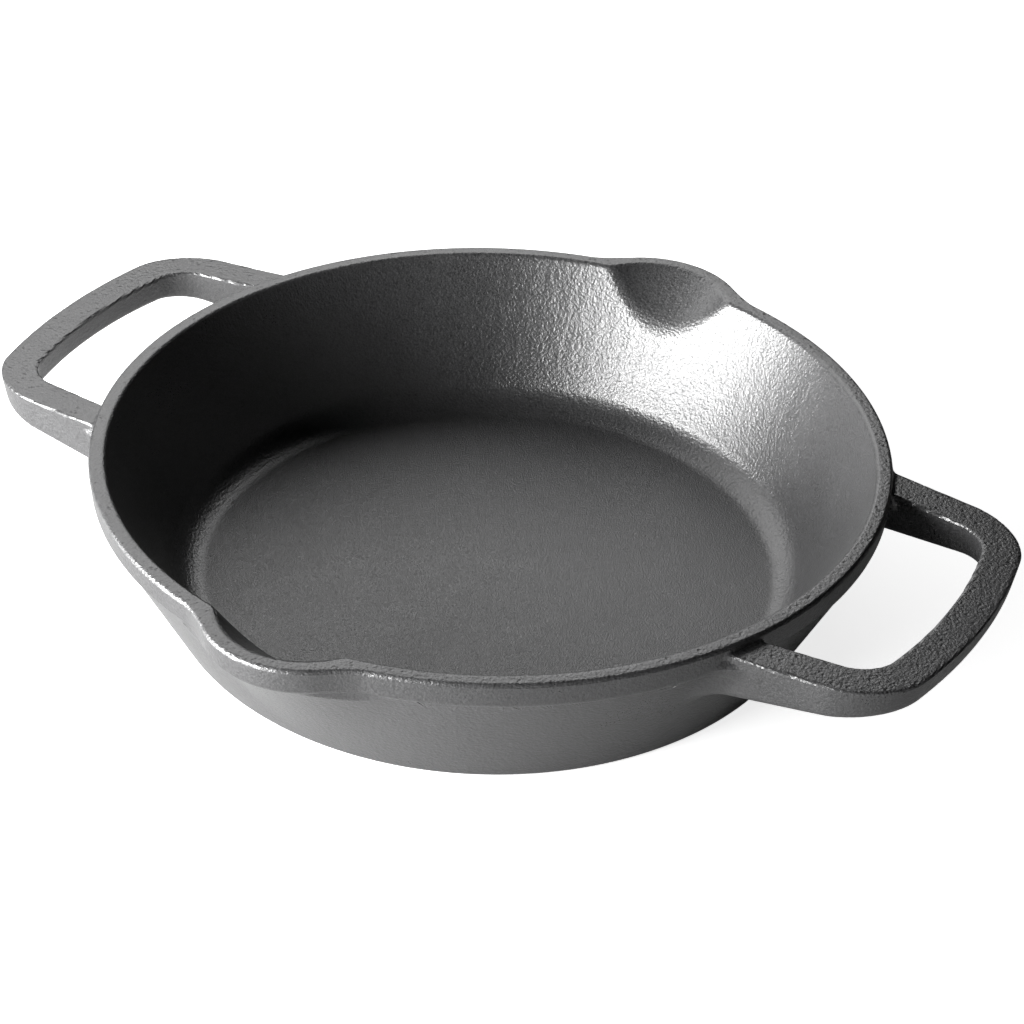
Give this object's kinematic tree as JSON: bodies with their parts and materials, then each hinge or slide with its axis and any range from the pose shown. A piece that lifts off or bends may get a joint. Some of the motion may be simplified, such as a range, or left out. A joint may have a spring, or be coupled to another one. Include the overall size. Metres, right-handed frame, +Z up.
{
  "type": "cast iron skillet",
  "caption": "Round cast iron skillet with leaning walls, flat rim, loop handles on opposite sides and pour spouts between them.",
  "frame": {"origin": "centre of the flat underside, on the surface the pan stands on", "axes": "+X along the two handles, +Y across the pan from spout to spout, +Z up out of the bowl"},
  "size_m": [0.3468, 0.2804, 0.0545],
  "materials": {
    "seasoned_iron": "black oil-seasoned cast iron, satin, with a fine sand-cast grain, finer on the cooking floor"
  },
  "bodies": {
    "root": {"base_floor": "seasoned_iron", "side_wall": "seasoned_iron", "rim_band": "seasoned_iron", "pour_spout_front": "seasoned_iron", "pour_spout_back": "seasoned_iron", "handle_left_grip": "seasoned_iron", "handle_left_arm_front": "seasoned_iron", "handle_left_arm_back": "seasoned_iron", "handle_right_grip": "seasoned_iron", "handle_right_arm_front": "seasoned_iron", "handle_right_arm_back": "seasoned_iron"}
  },
  "joints": []
}
